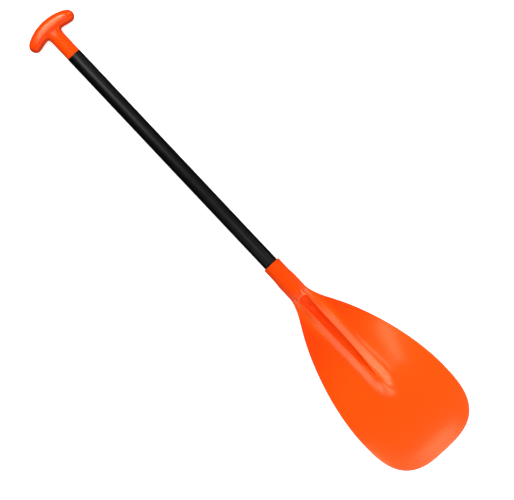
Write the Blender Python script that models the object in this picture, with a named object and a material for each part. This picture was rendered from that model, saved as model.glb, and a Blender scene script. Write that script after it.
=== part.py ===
"""Canoe paddle: a T-grip and a moulded blade on a sleeved aluminium tube.

The paddle lies flat with the ribbed face of its blade up. X runs along the shaft from the grip
to the blade tip, Y across the blade and Z up from the surface that the paddle lies on.
All sizes are in metres.
"""

import math

import bmesh
import bpy

# Shaft
TUBE_DIAMETER = 0.028
TUBE_WALL = 0.0015
SLEEVE_WALL = 0.0007
SHAFT_SHOWN = 0.5575
FIT_GAP = 0.0003

# Socket that is moulded on the blade
SOCKET_LENGTH = 0.086
SOCKET_WALL = 0.0031
SOCKET_FLARE = 0.0014
TUBE_SEAT = 0.073
SLEEVE_SEAT = 0.025
MOUTH_CHAMFER = 0.0004
FIN_LENGTH = 0.0602
FIN_RUNOUT = 0.0215
FIN_FILLET = 0.007
REST_LAND_CUT = 0.0004

# Blade outline and plate
BLADE_LENGTH = 0.407
BLADE_WIDTH = 0.219
WIDEST_AT = 0.285
SHOULDER_START = 0.0116
SHOULDER_POWER = 1.75
SHOULDER_FULLNESS = 0.8
CORNER_POWER = 3.0
PLATE_THICKNESS = 0.005
EDGE_THICKNESS = 0.0032
EDGE_TAPER = 0.04
ARCH_RISE = 0.028
ARCH_START = 0.06
TIP_FALL = 0.04
TIP_FALL_POWER = 2.4
SIDE_FALL = 0.005
SIDE_FALL_POWER = 2.3
SIDE_FALL_GROWTH = 0.8

# Spine on the upper face and the shorter nose on the lower face
THROAT_LENGTH = 0.02
THROAT_LEAD = 0.012
SPINE_HEIGHT = 0.0115
SPINE_NOSE_START = 0.213
SPINE_LENGTH = 0.27
SPINE_WIDTH = 0.029
SPINE_CHANGE_LENGTH = 0.1
SPINE_FLATNESS_TOP = 3.4
SPINE_FLATNESS_LOW = 1.9
SPINE_FOOT_TOP = 1.8
SPINE_FOOT_LOW = 6.0
NOSE_LENGTH = 0.095
NOSE_WIDTH = 0.033
NOSE_FLATNESS = 2.6
NOSE_FOOT = 1.6

# Groove that cores the spine
GROOVE_START = 0.0025
GROOVE_LENGTH = 0.222
GROOVE_WIDTH = 0.0164
GROOVE_HEAD_FLARE = 0.0058
GROOVE_FLARE_LENGTH = 0.045
GROOVE_TAPER_POWER = 4.7
GROOVE_HEAD_DEPTH = 0.0018
GROOVE_RAMP_LENGTH = 0.022
GROOVE_FLOOR_HEIGHT = 0.003
GROOVE_CORNER = 0.0035
GROOVE_FLOOR_RADIUS = 0.0012
GROOVE_DRAFT = math.radians(22.0)

# T-grip
GRIP_HEIGHT = 0.0875
GRIP_WIDTH = 0.111
BAR_THICKNESS = 0.032
BAR_DROOP = 0.014
BAR_TAPER = 0.1
BAR_END_LENGTH = 0.0145
BAR_REST_GAP = 0.0001
STEM_STEP = 0.0003
STEM_SWELL = 0.0012
SPIGOT_LENGTH = 0.045
SPIGOT_WALL = 0.0047
SPIGOT_ROOT = 0.009
SPIGOT_CHAMFER = 0.001
CORE_DEPTH = 0.055

# Blind rivets, one through the socket and one through the grip's spigot
RIVET_DIAMETER = 0.004
RIVET_HEAD_DIAMETER = 0.008
RIVET_HEAD_HEIGHT = 0.0012
RIVET_BULB_DIAMETER = 0.0064
RIVET_BULB_LENGTH = 0.0036
MANDREL_DIAMETER = 0.0022
MANDREL_HEAD_DIAMETER = 0.00374
MANDREL_HEAD_LENGTH = 0.0018
SPOT_FACE_DIAMETER = 0.0105
SPOT_FACE_DEPTH = 0.0025
BLADE_RIVET_AT = 0.045
GRIP_RIVET_AT = 0.022

# Foam plugs that keep the tube afloat
FOAM_LENGTH = 0.08
FOAM_FROM_RIVET = 0.012

# Facets
TURN_STEPS = 48
RIVET_STEPS = 20
HALF_FACE_POINTS = 12
BLADE_STEP = 0.01
TIP_STEPS = 14
CAGE_SIDES = 8
CAGE_LEVELS = 2
SHARP_ANGLE = math.radians(40.0)
OVERCUT = 0.002

# Sizes that follow from those above
TUBE_RADIUS = TUBE_DIAMETER / 2
TUBE_BORE = TUBE_RADIUS - TUBE_WALL
SLEEVE_BORE = TUBE_RADIUS + FIT_GAP
SLEEVE_RADIUS = SLEEVE_BORE + SLEEVE_WALL
SOCKET_RADIUS = SLEEVE_RADIUS + FIT_GAP + SOCKET_WALL
AXIS_HEIGHT = SOCKET_RADIUS - REST_LAND_CUT
HALF_WIDTH = BLADE_WIDTH / 2
EDGE_RADIUS = EDGE_THICKNESS / 2
SPIGOT_RADIUS = TUBE_BORE - FIT_GAP
CORE_RADIUS = SPIGOT_RADIUS - SPIGOT_WALL
STEM_RADIUS = SLEEVE_RADIUS - STEM_STEP
OVERALL_LENGTH = GRIP_HEIGHT + SHAFT_SHOWN + SOCKET_LENGTH + BLADE_LENGTH
SHOULDER_X = GRIP_HEIGHT - OVERALL_LENGTH / 2
MOUTH_X = SHOULDER_X + SHAFT_SHOWN
NECK_X = MOUTH_X + SOCKET_LENGTH
BLADE_RIVET_X = MOUTH_X + BLADE_RIVET_AT
GRIP_RIVET_X = SHOULDER_X + GRIP_RIVET_AT
# A closed cubic spline through a regular cage runs inside it by this share
CAGE_SHARE = (2 + math.cos(2 * math.pi / CAGE_SIDES)) / 3


def clear_scene():
    """Takes away whatever the file holds."""
    for item in list(bpy.data.objects):
        bpy.data.objects.remove(item, do_unlink=True)


def blend(start, end, share):
    """The value that lies at a share of the way from start to end."""
    return start + (end - start) * share


def ease(low, high, value):
    """Rises smoothly from 0 at low to 1 at high."""
    share = min(max((value - low) / (high - low), 0.0), 1.0)
    return share * share * (3 - 2 * share)


def smooth_max(first, second, reach):
    """The larger of two values, with a fillet where they are closer than reach."""
    overlap = max(reach - abs(first - second), 0.0) / reach
    return max(first, second) + overlap * overlap * reach / 4


def make_material(name, colour, roughness, metallic=0.0):
    """A Principled material."""
    material = bpy.data.materials.new(name)
    material.use_nodes = True
    shader = material.node_tree.nodes["Principled BSDF"]
    shader.inputs["Base Color"].default_value = (*colour, 1.0)
    shader.inputs["Roughness"].default_value = roughness
    shader.inputs["Metallic"].default_value = metallic
    material.diffuse_color = (*colour, 1.0)
    return material


def add_object(name, bm, parent, x, material=None):
    """Turns a bmesh into an object at x on the shaft's axis."""
    bmesh.ops.recalc_face_normals(bm, faces=bm.faces)
    mesh = bpy.data.meshes.new(name)
    bm.to_mesh(mesh)
    bm.free()
    item = bpy.data.objects.new(name, mesh)
    bpy.context.scene.collection.objects.link(item)
    item.parent = parent
    item.location = (x, 0.0, 0.0)
    if material:
        mesh.materials.append(material)
        mesh.shade_smooth()
        mesh.set_sharp_from_angle(angle=SHARP_ANGLE)
    return item


def add_cutter(name, bm, parent, x):
    """A shape that is only there to be cut out of others."""
    cutter = add_object(name, bm, parent, x)
    cutter.hide_render = True
    cutter.display_type = "WIRE"
    return cutter


def add_boolean(target, other, operation="DIFFERENCE"):
    """Leaves a Boolean modifier on the target."""
    modifier = target.modifiers.new(f"{operation.lower()}_{other.name}", "BOOLEAN")
    modifier.operation = operation
    modifier.solver = "EXACT"
    modifier.object = other


def turned(profile, ring, steps=TURN_STEPS):
    """A profile of (x, radius) points turned about X; a ring profile closes on itself."""
    bm = bmesh.new()
    points = [bm.verts.new((x, 0.0, radius)) for x, radius in profile]
    pairs = list(zip(points, points[1:]))
    if ring:
        pairs.append((points[-1], points[0]))
    edges = [bm.edges.new(pair) for pair in pairs]
    bmesh.ops.spin(
        bm,
        geom=points + edges,
        cent=(0, 0, 0),
        axis=(1, 0, 0),
        angle=2 * math.pi,
        steps=steps,
    )
    bmesh.ops.remove_doubles(bm, verts=bm.verts, dist=1e-6)
    return bm


def pipe(start, end, inner, outer):
    """A straight tube along X."""
    return turned([(start, inner), (start, outer), (end, outer), (end, inner)], ring=True)


def rod(start, end, radius, steps=TURN_STEPS):
    """A straight round bar along X."""
    profile = [(start, 0.0), (start, radius), (end, radius), (end, 0.0)]
    return turned(profile, ring=False, steps=steps)


def loft(rings):
    """Joins rings of equally many points into one closed body with flat ends."""
    bm = bmesh.new()
    rows = [[bm.verts.new(point) for point in ring] for ring in rings]
    count = len(rows[0])
    for row, following in zip(rows, rows[1:]):
        for i in range(count):
            j = (i + 1) % count
            bm.faces.new((row[i], row[j], following[j], following[i]))
    bm.faces.new(rows[0])
    bm.faces.new(rows[-1])
    return bm


def smooth_min(first, second, reach):
    """The smaller of two values, with a fillet where they are closer than reach."""
    return -smooth_max(-first, -second, reach)


def fin(x):
    """0 where the socket is a plain tube and 1 where the plate runs along its sides as fins."""
    return ease(-FIN_LENGTH, FIN_RUNOUT - FIN_LENGTH, x)


def outline(x):
    """Half width of the moulding, x being measured from the neck."""
    neck = SOCKET_RADIUS + SOCKET_FLARE * fin(x)
    if x <= -SHOULDER_START:
        return neck
    if x <= WIDEST_AT:
        ahead = (WIDEST_AT - x) / (WIDEST_AT + SHOULDER_START)
        side = HALF_WIDTH * (1 - ahead**SHOULDER_POWER) ** SHOULDER_FULLNESS
        return smooth_max(neck, side, neck)
    beyond = (x - WIDEST_AT) / (BLADE_LENGTH - WIDEST_AT)
    return HALF_WIDTH * max(1 - beyond**CORNER_POWER, 0.0) ** (1 / CORNER_POWER)


def outline_slope(x):
    """How fast the half width changes along X."""
    step = 0.0002
    high = min(x + step, BLADE_LENGTH)
    low = x - step
    return (outline(high) - outline(low)) / (high - low)


def rim_distance(x, y):
    """Distance from a point of the blade to its outline, true close to the rim."""
    slope = outline_slope(x)
    across = (outline(x) - abs(y)) / math.hypot(1, slope)
    if x <= WIDEST_AT:
        return max(across, 0.0)
    share = min(abs(y) / HALF_WIDTH, 1.0)
    end = (1 - share**CORNER_POWER) ** (1 / CORNER_POWER)
    ahead = WIDEST_AT + (BLADE_LENGTH - WIDEST_AT) * end - x
    return max(min(across, ahead), 0.0)


def throat(x):
    """0 on the round socket and 1 where the flat blade has taken over."""
    return ease(-THROAT_LEAD, THROAT_LENGTH - THROAT_LEAD, x)


def middle_height(x, y):
    """Height of the surface midway between the faces: an arch whose tip and sides fall."""
    along = max(x, 0.0) / BLADE_LENGTH
    arch = ARCH_RISE * along**2 / (along + ARCH_START)
    sides = along**SIDE_FALL_GROWTH * (abs(y) / HALF_WIDTH) ** SIDE_FALL_POWER
    return arch - TIP_FALL * along**TIP_FALL_POWER - SIDE_FALL * sides


def plate_height(x, y):
    """Half thickness of the plate, with a full round along its rim."""
    inward = rim_distance(x, y)
    if inward < EDGE_RADIUS:
        half = math.sqrt(max(EDGE_RADIUS**2 - (EDGE_RADIUS - inward) ** 2, 0.0))
    else:
        half = blend(EDGE_RADIUS, PLATE_THICKNESS / 2, ease(0, EDGE_TAPER, inward - EDGE_RADIUS))
    return half


def rise(x, y, half_width, crest, flatness, foot):
    """Height of the round socket, which turns into a rib of the given form on the blade."""
    share = min(abs(y) / blend(SOCKET_RADIUS, half_width, throat(x)), 1.0)
    top = blend(SOCKET_RADIUS, crest, throat(x))
    power = blend(2.0, flatness, throat(x))
    return top * (1 - share**power) ** blend(0.5, foot, throat(x))


def face_height(x, y, rib):
    """Height of a face over the middle: a tube with filleted fins, then a rib on the plate."""
    plate = plate_height(x, y)
    tube = rib
    if fin(x) > 0:
        tube = smooth_max(rib, plate * fin(x), FIN_FILLET * fin(x))
    return blend(tube, plate + rib, throat(x))


def spine_form(x):
    """Flatness of the spine's top and softness of its foot, which turn it into a bell."""
    change = ease(0, SPINE_CHANGE_LENGTH, x)
    flatness = blend(SPINE_FLATNESS_TOP, SPINE_FLATNESS_LOW, change)
    return flatness, blend(SPINE_FOOT_TOP, SPINE_FOOT_LOW, change)


def spine_half_width(x):
    """Where the spine's skirt runs out, if the spine is as wide as given at half its height."""
    flatness, foot = spine_form(x)
    free = SPINE_WIDTH / 2 / (1 - 0.5 ** (1 / foot)) ** (1 / flatness)
    return smooth_min(free, outline(x), SPINE_WIDTH / 4)


def upper_height(x, y):
    """Height of the upper face over the shaft's axis."""
    crest = SPINE_HEIGHT * (1 - ease(SPINE_NOSE_START, SPINE_LENGTH, x))
    spine = rise(x, y, spine_half_width(x), crest, *spine_form(x))
    return middle_height(x, y) + face_height(x, y, spine)


def lower_height(x, y):
    """Height of the lower face over the shaft's axis."""
    fall = ease(-THROAT_LEAD, NOSE_LENGTH, x)
    crest = (SOCKET_RADIUS - PLATE_THICKNESS / 2) * (1 - fall)
    nose = rise(x, y, NOSE_WIDTH / 2, crest, NOSE_FLATNESS, NOSE_FOOT)
    return middle_height(x, y) - face_height(x, y, nose)


def side_positions(x):
    """Places across half the width, from the middle to the rim."""
    width = outline(x)
    turn = math.pi / 2 / HALF_FACE_POINTS
    tube_places = [width * math.sin(i * turn) for i in range(HALF_FACE_POINTS + 1)]
    rim_share = (0.5, 0.866, 1.0)
    angles = (0, 13, 26, 39, 51, 62, 71)
    fin_places = [SOCKET_RADIUS * math.sin(math.radians(angle)) for angle in angles]
    root = fin_places[-1]
    rim = min(EDGE_RADIUS, 0.5 * (width - root))
    fin_places += [blend(root, width - rim, share) for share in (0.4, 0.75, 1.0)]
    fin_places += [blend(width - rim, width, share) for share in rim_share]
    inner = min(1.05 * SPINE_WIDTH, 0.8 * width)
    if x > WIDEST_AT:
        inner *= width / HALF_WIDTH
    rim = min(EDGE_RADIUS * math.hypot(1, outline_slope(x)), 0.4 * (width - inner))
    spine_share = (0.0, 0.22, 0.42, 0.6, 0.75, 0.88, 1.0)
    places = [inner * share for share in spine_share]
    places += [blend(inner, width - rim, share) for share in (0.33, 0.67, 1.0)]
    places += [blend(width - rim, width, share) for share in rim_share]
    socket = [blend(a, b, fin(x)) for a, b in zip(tube_places, fin_places)]
    return [blend(a, b, throat(x)) for a, b in zip(socket, places)]


def blade_ring(x, sample_x):
    """One closed section, placed at x and shaped as the moulding is at sample_x."""
    places = side_positions(sample_x)
    across = places[:0:-1] + [0.0] + [-y for y in places[1:]]
    upper = [(x, y, upper_height(sample_x, y)) for y in across]
    lower = [(x, -y, lower_height(sample_x, y)) for y in across[1:-1]]
    return upper + lower


def turned_share(angle):
    """Where the outline has turned by an angle, as a share of the way to the tip."""
    slope = math.tan(angle) * (BLADE_LENGTH - WIDEST_AT) / HALF_WIDTH
    steep = slope ** (CORNER_POWER / (CORNER_POWER - 1))
    return (steep / (1 + steep)) ** (1 / CORNER_POWER)


def blade_stations():
    """Where the sections lie, closer together where the form changes fast."""
    socket = [-SOCKET_LENGTH * share for share in (0.85, 0.7, 0.62, 0.54, 0.45, 0.33, 0.22)]
    neck = [THROAT_LENGTH * share for share in (-0.6, -0.45, -0.3, -0.15, 0, 0.15, 0.3, 0.45)]
    neck += [THROAT_LENGTH * share for share in (0.6, 0.8, 1.0, 1.25)]
    first = 1.6 * THROAT_LENGTH
    steps = round((WIDEST_AT - first) / BLADE_STEP)
    sides = [blend(first, WIDEST_AT, i / steps) for i in range(steps + 1)]
    reach = BLADE_LENGTH - WIDEST_AT
    tip = [WIDEST_AT + reach * turned_share(math.pi / 2 * i / TIP_STEPS) for i in range(1, TIP_STEPS)]
    rim = [BLADE_LENGTH - EDGE_RADIUS * share for share in (1.0, 0.5, 0.2)]
    return socket + neck + sides + tip + rim


def blade_body():
    """The outer form of socket, neck, blade, spine and nose."""
    mouth = []
    for x, inset in ((-SOCKET_LENGTH, MOUTH_CHAMFER), (-SOCKET_LENGTH + MOUTH_CHAMFER, 0.0)):
        share = 1 - inset / SOCKET_RADIUS
        mouth.append([(x, y * share, z * share) for _, y, z in blade_ring(x, x)])
    body = [blade_ring(x, x) for x in blade_stations()]
    end = blade_ring(BLADE_LENGTH, BLADE_LENGTH - 0.06 * EDGE_RADIUS)
    return loft(mouth + body + [end])


def groove_half_width(x):
    """Half width of the groove's mouth, x being measured from the groove's head."""
    share = min(max(x, 0.0) / GROOVE_LENGTH, 1.0)
    body = GROOVE_WIDTH * (1 - share**GROOVE_TAPER_POWER)
    flare = GROOVE_HEAD_FLARE * max(1 - max(x, 0.0) / GROOVE_FLARE_LENGTH, 0.0) ** 2
    corner = GROOVE_CORNER * (1 - min(max(x / GROOVE_CORNER, 0.0), 1.0)) ** 2
    return (body + flare) / 2 - corner


def groove_depth(x):
    """Depth of the groove under its edge: a low wall and a ramp at its head."""
    edge = upper_height(GROOVE_START + x, groove_half_width(x))
    floor = middle_height(GROOVE_START + x, 0.0) + GROOVE_FLOOR_HEIGHT
    full = edge - floor
    ramp = blend(GROOVE_HEAD_DEPTH, full, x / GROOVE_RAMP_LENGTH)
    closing = 0.97 * groove_half_width(x) / math.tan(GROOVE_DRAFT)
    return min(full, ramp, closing)


def groove_ring(x, over):
    """A section of the groove's cutter, which stands over the groove's edge."""
    draft = math.tan(GROOVE_DRAFT)
    half = groove_half_width(x)
    edge = upper_height(GROOVE_START + x, half)
    depth = groove_depth(x)
    floor = edge - depth
    low = half - depth * draft
    high = half + over * draft
    soft = min(GROOVE_FLOOR_RADIUS, 0.45 * low)
    place = GROOVE_START + x
    side = [(high, edge + over), (low + soft * draft, floor + soft), (low - soft, floor)]
    return [(place, y, z) for y, z in side] + [(place, -y, z) for y, z in reversed(side)]


def groove_cutter():
    """The tapering groove: a ramp at its head, a narrower floor and a pointed foot."""
    over = 2 * OVERCUT
    head = [GROOVE_CORNER * share for share in (0.0, 0.08, 0.25, 0.55, 1.0)]
    head += [blend(GROOVE_CORNER, GROOVE_RAMP_LENGTH, i / 5) for i in range(1, 6)]
    steps = 16
    rest = [blend(GROOVE_RAMP_LENGTH, GROOVE_LENGTH, i / steps) for i in range(1, steps)]
    last = [GROOVE_LENGTH * share for share in (0.98, 0.995)]
    return loft([groove_ring(x, over) for x in head + rest + last])


def block(length, width, bottom, top):
    """A box that starts at x = 0, centred on Y."""
    half = width / 2
    ring = [(half, bottom), (half, top), (-half, top), (-half, bottom)]
    return loft([[(x, y, z) for y, z in ring] for x in (0.0, length)])


def bar_centre(y):
    """How far the middle of the grip's bar lies from the crown."""
    straight = GRIP_WIDTH / 2 - 0.7 * BAR_END_LENGTH
    share = min(abs(y), straight) / (GRIP_WIDTH / 2)
    return BAR_THICKNESS / 2 + BAR_DROOP * share**2


def bar_share(y):
    """Thickness of the bar at y as a share of that in its middle, round at the ends."""
    half = GRIP_WIDTH / 2
    share = 1 - BAR_TAPER * (y / half) ** 2
    past = max(abs(y) - (half - BAR_END_LENGTH), 0.0) / BAR_END_LENGTH
    return share * math.sqrt(max(1 - past * past, 0.0))


def bar_ring(y, lift=0.0):
    """A ring of the grip's cage round the bar; its first point faces the stem."""
    ring = []
    for i in range(CAGE_SIDES):
        turn = 2 * math.pi * i / CAGE_SIDES
        reach = bar_share(y) / CAGE_SHARE
        centre = bar_centre(y) - lift - GRIP_HEIGHT
        x = centre + BAR_THICKNESS / 2 * reach * math.cos(turn)
        z = (AXIS_HEIGHT - BAR_REST_GAP) * reach * math.sin(turn)
        ring.append((x, y, z))
    return ring


def stem_ring(x, half_width, half_depth):
    """A ring of the grip's cage round the stem."""
    ring = []
    for i in range(CAGE_SIDES):
        turn = 2 * math.pi * i / CAGE_SIDES
        y = half_width * math.cos(turn) / CAGE_SHARE
        z = half_depth * math.sin(turn) / CAGE_SHARE
        ring.append((x, y, z))
    return ring


def grip_cage():
    """The coarse cage of bar and stem, which a subdivision surface rounds."""
    bm = bmesh.new()
    crease = bm.edges.layers.float.new("crease_edge")
    half = GRIP_WIDTH / 2
    side = STEM_RADIUS / CAGE_SHARE
    outer = [blend(side, half, share) for share in (0.22, 0.5, 0.76, 0.925, 0.995)]
    places = [-y for y in reversed(outer)] + [-side, 0.0, side] + outer
    # The middle ring stands out, so that the rounded surface still reaches the crown
    lift = (bar_centre(side) - bar_centre(0.0)) / 2
    rings = [bar_ring(y, lift if y == 0.0 else 0.0) for y in places]
    rows = [[bm.verts.new(point) for point in ring] for ring in rings]
    middle = len(places) // 2
    opening = {(middle - 1, 0), (middle, 0), (middle - 1, CAGE_SIDES - 1), (middle, CAGE_SIDES - 1)}
    for i, (row, following) in enumerate(zip(rows, rows[1:])):
        for j in range(CAGE_SIDES):
            k = (j + 1) % CAGE_SIDES
            if (i, j) not in opening:
                bm.faces.new((row[j], row[k], following[k], following[j]))
    bm.faces.new(rows[0])
    bm.faces.new(rows[-1])
    near, centre, far = rows[middle + 1], rows[middle], rows[middle - 1]
    bm.verts.remove(centre[0])
    seam = [near[0], near[1], centre[1], far[1], far[0], far[-1], centre[-1], near[-1]]
    underside = BAR_THICKNESS - GRIP_HEIGHT
    last = seam
    for share, swell in ((0.12, 1.0), (0.3, 0.5), (0.65, 0.1), (1.0, 0.0)):
        depth = STEM_RADIUS + STEM_SWELL * swell
        ring = stem_ring(blend(underside, 0.0, share), STEM_RADIUS, depth)
        following = [bm.verts.new(point) for point in ring]
        for j in range(CAGE_SIDES):
            k = (j + 1) % CAGE_SIDES
            bm.faces.new((last[j], last[k], following[k], following[j]))
        last = following
    shoulder = bm.faces.new(last)
    for edge in shoulder.edges:
        edge[crease] = 1.0
    return bm


def rivet_lengths(seat_radius, bore_radius):
    """Where the rivet's head seats and its bulb starts, as heights under the shaft's axis."""
    seat = seat_radius + FIT_GAP
    bulb = math.sqrt(bore_radius**2 - (RIVET_BULB_DIAMETER / 2) ** 2) - FIT_GAP
    return seat, bulb


def rivet_body(seat, bulb):
    """A set blind rivet, its axis on X and its head towards -X, with its open core."""
    core = MANDREL_DIAMETER / 2 + FIT_GAP
    shank = RIVET_DIAMETER / 2
    head = RIVET_HEAD_DIAMETER / 2
    swollen = RIVET_BULB_DIAMETER / 2
    grip = seat - bulb
    end = grip + RIVET_BULB_LENGTH
    dome = []
    for i in range(5):
        turn = math.pi / 2 * i / 4
        radius = blend(core, head, math.sin(turn))
        dome.append((-RIVET_HEAD_HEIGHT * blend(0.3, 1.0, math.cos(turn)), radius))
    bulge = []
    for i in range(5):
        share = i / 4
        radius = blend(shank, swollen, math.sin(math.pi * blend(0.15, 0.85, share)))
        bulge.append((blend(grip, end, share), radius))
    profile = dome + [(0.0, head), (0.0, shank), (grip - FIT_GAP, shank)] + bulge + [(end, core)]
    return turned(profile, ring=True, steps=RIVET_STEPS)


def mandrel_body(seat, bulb):
    """What stays of the rivet's mandrel: a pin with its head beyond the bulb."""
    radius = MANDREL_DIAMETER / 2
    start = -0.5 * RIVET_HEAD_HEIGHT
    under = seat - bulb + RIVET_BULB_LENGTH + FIT_GAP
    top = under + MANDREL_HEAD_LENGTH
    head = MANDREL_HEAD_DIAMETER / 2
    profile = [(start, 0.0), (start, radius), (under, radius), (under, head)]
    profile += [(blend(under, top, 0.7), head), (top, radius), (top, 0.0)]
    return turned(profile, ring=False, steps=RIVET_STEPS)


def add_rivet(name, parent, x, seat_radius, bore_radius, rivet_metal, mandrel_metal):
    """A rivet and its mandrel, put in from below, and the cutter for its hole."""
    seat, bulb = rivet_lengths(seat_radius, bore_radius)
    hole_radius = RIVET_DIAMETER / 2 + FIT_GAP
    hole_end = seat - bulb + RIVET_BULB_LENGTH
    hole = rod(-2 * RIVET_HEAD_HEIGHT, hole_end, hole_radius, RIVET_STEPS)
    items = [
        add_object(name, rivet_body(seat, bulb), parent, x, rivet_metal),
        add_object(f"{name}_mandrel", mandrel_body(seat, bulb), parent, x, mandrel_metal),
        add_cutter(f"{name}_hole_cutter", hole, parent, x),
    ]
    for item in items:
        item.location.z = -seat
        item.rotation_euler.y = -math.pi / 2
    return items[-1]


def build_shaft(axis, metal, black, foam):
    """The tube, the sleeve shrunk on it and the foam in its ends."""
    start = FIT_GAP
    tube_end = SHAFT_SHOWN + TUBE_SEAT - FIT_GAP
    sleeve_end = SHAFT_SHOWN + SLEEVE_SEAT - FIT_GAP
    tube = pipe(start, tube_end, TUBE_BORE, TUBE_RADIUS)
    sleeve = pipe(start, sleeve_end, SLEEVE_BORE, SLEEVE_RADIUS)
    tube = add_object("shaft_tube", tube, axis, SHOULDER_X, metal)
    sleeve = add_object("shaft_sleeve", sleeve, axis, SHOULDER_X, black)
    foam_radius = TUBE_BORE - FIT_GAP
    upper = rod(0.0, FOAM_LENGTH, foam_radius)
    lower = rod(-FOAM_LENGTH, 0.0, foam_radius)
    add_object("upper_foam_plug", upper, axis, SHOULDER_X + SPIGOT_LENGTH + FIT_GAP, foam)
    add_object("lower_foam_plug", lower, axis, BLADE_RIVET_X - FOAM_FROM_RIVET, foam)
    return tube, sleeve


def build_blade(axis, orange, rivet_hole):
    """The blade with its socket, bore, groove, rest land and the seat of its rivet."""
    blade = add_object("blade", blade_body(), axis, NECK_X, orange)
    counterbore = SLEEVE_RADIUS + FIT_GAP
    bore = TUBE_RADIUS + FIT_GAP
    profile = [
        (-OVERCUT, 0.0),
        (-OVERCUT, counterbore),
        (SLEEVE_SEAT, counterbore),
        (SLEEVE_SEAT, bore),
        (TUBE_SEAT, bore),
        (TUBE_SEAT, 0.0),
    ]
    add_boolean(blade, add_cutter("socket_bore_cutter", turned(profile, ring=False), axis, MOUTH_X))
    add_boolean(blade, add_cutter("groove_cutter", groove_cutter(), axis, NECK_X))
    land = block(SOCKET_LENGTH + NOSE_LENGTH, 2 * SOCKET_RADIUS, -2 * AXIS_HEIGHT, -AXIS_HEIGHT)
    add_boolean(blade, add_cutter("rest_land_cutter", land, axis, MOUTH_X - OVERCUT))
    seat = rod(-OVERCUT, SPOT_FACE_DEPTH, SPOT_FACE_DIAMETER / 2)
    spot_face = add_cutter("rivet_seat_cutter", seat, axis, BLADE_RIVET_X)
    spot_face.location.z = -SOCKET_RADIUS
    spot_face.rotation_euler.y = -math.pi / 2
    add_boolean(blade, spot_face)
    add_boolean(blade, rivet_hole)
    return blade


def build_grip(axis, orange, rivet_hole):
    """The T-grip with its spigot, cored from the spigot's end."""
    grip = add_object("t_grip", grip_cage(), axis, SHOULDER_X, orange)
    rounding = grip.modifiers.new("rounding", "SUBSURF")
    rounding.levels = CAGE_LEVELS
    rounding.render_levels = CAGE_LEVELS
    profile = [
        (-SPIGOT_ROOT, 0.0),
        (-SPIGOT_ROOT, SPIGOT_RADIUS),
        (SPIGOT_LENGTH - SPIGOT_CHAMFER, SPIGOT_RADIUS),
        (SPIGOT_LENGTH, SPIGOT_RADIUS - SPIGOT_CHAMFER),
        (SPIGOT_LENGTH, 0.0),
    ]
    spigot = add_cutter("spigot_form", turned(profile, ring=False), axis, SHOULDER_X)
    add_boolean(grip, spigot, "UNION")
    profile = [
        (-CORE_DEPTH, 0.0),
        (-CORE_DEPTH, 0.5 * CORE_RADIUS),
        (-CORE_DEPTH + 0.5 * CORE_RADIUS, CORE_RADIUS),
        (SPIGOT_LENGTH + OVERCUT, CORE_RADIUS),
        (SPIGOT_LENGTH + OVERCUT, 0.0),
    ]
    add_boolean(grip, add_cutter("grip_core_cutter", turned(profile, ring=False), axis, SHOULDER_X))
    add_boolean(grip, rivet_hole)
    return grip


def build():
    """Makes the whole paddle."""
    clear_scene()
    axis = bpy.data.objects.new("shaft_axis", None)
    bpy.context.scene.collection.objects.link(axis)
    axis.location = (0.0, 0.0, AXIS_HEIGHT)
    orange = make_material("orange_plastic", (0.98, 0.08, 0.003), 0.38)
    black = make_material("black_sleeve", (0.012, 0.012, 0.013), 0.45)
    metal = make_material("tube_aluminium", (0.72, 0.73, 0.75), 0.35, 1.0)
    rivet_metal = make_material("rivet_aluminium", (0.78, 0.79, 0.8), 0.3, 1.0)
    mandrel_metal = make_material("mandrel_steel", (0.55, 0.56, 0.57), 0.35, 1.0)
    foam = make_material("white_foam", (0.85, 0.85, 0.82), 0.9)
    seat_radius = SOCKET_RADIUS - SPOT_FACE_DEPTH
    blade_hole = add_rivet(
        "blade_rivet", axis, BLADE_RIVET_X, seat_radius, TUBE_BORE, rivet_metal, mandrel_metal
    )
    grip_hole = add_rivet(
        "grip_rivet", axis, GRIP_RIVET_X, SLEEVE_RADIUS, CORE_RADIUS, rivet_metal, mandrel_metal
    )
    tube, sleeve = build_shaft(axis, metal, black, foam)
    add_boolean(tube, blade_hole)
    add_boolean(tube, grip_hole)
    add_boolean(sleeve, grip_hole)
    build_blade(axis, orange, blade_hole)
    build_grip(axis, orange, grip_hole)


build()
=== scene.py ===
"""The paddle's looks: fine surfaces for blade and grip, all finishes, the studio and the camera.

X runs along the shaft from the grip to the blade tip, Y across the blade and Z up from the floor.
All sizes are in metres. The blade's formulas measure x from its neck and heights from the axis.
"""

import functools
import math

import bmesh
import bpy
from mathutils import Matrix, Vector


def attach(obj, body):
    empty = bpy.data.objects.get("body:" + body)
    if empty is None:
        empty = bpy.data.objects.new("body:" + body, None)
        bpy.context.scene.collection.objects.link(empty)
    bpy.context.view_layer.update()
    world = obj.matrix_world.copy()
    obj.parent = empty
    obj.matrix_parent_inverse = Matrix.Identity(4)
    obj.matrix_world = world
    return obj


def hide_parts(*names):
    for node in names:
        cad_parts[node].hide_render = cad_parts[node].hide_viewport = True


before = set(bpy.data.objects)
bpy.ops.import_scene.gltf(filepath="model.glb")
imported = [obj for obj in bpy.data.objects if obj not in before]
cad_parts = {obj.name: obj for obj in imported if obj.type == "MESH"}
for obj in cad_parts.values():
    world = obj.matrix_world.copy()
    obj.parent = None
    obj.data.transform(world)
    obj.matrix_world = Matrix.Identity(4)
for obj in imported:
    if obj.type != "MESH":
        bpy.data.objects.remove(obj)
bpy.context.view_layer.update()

# Places of the frame
AXIS_HEIGHT = 0.018
SHOULDER_X = -0.4815
NECK_X = 0.162
BLADE_RIVET_X = 0.121
GRIP_RIVET_X = -0.4595

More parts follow.
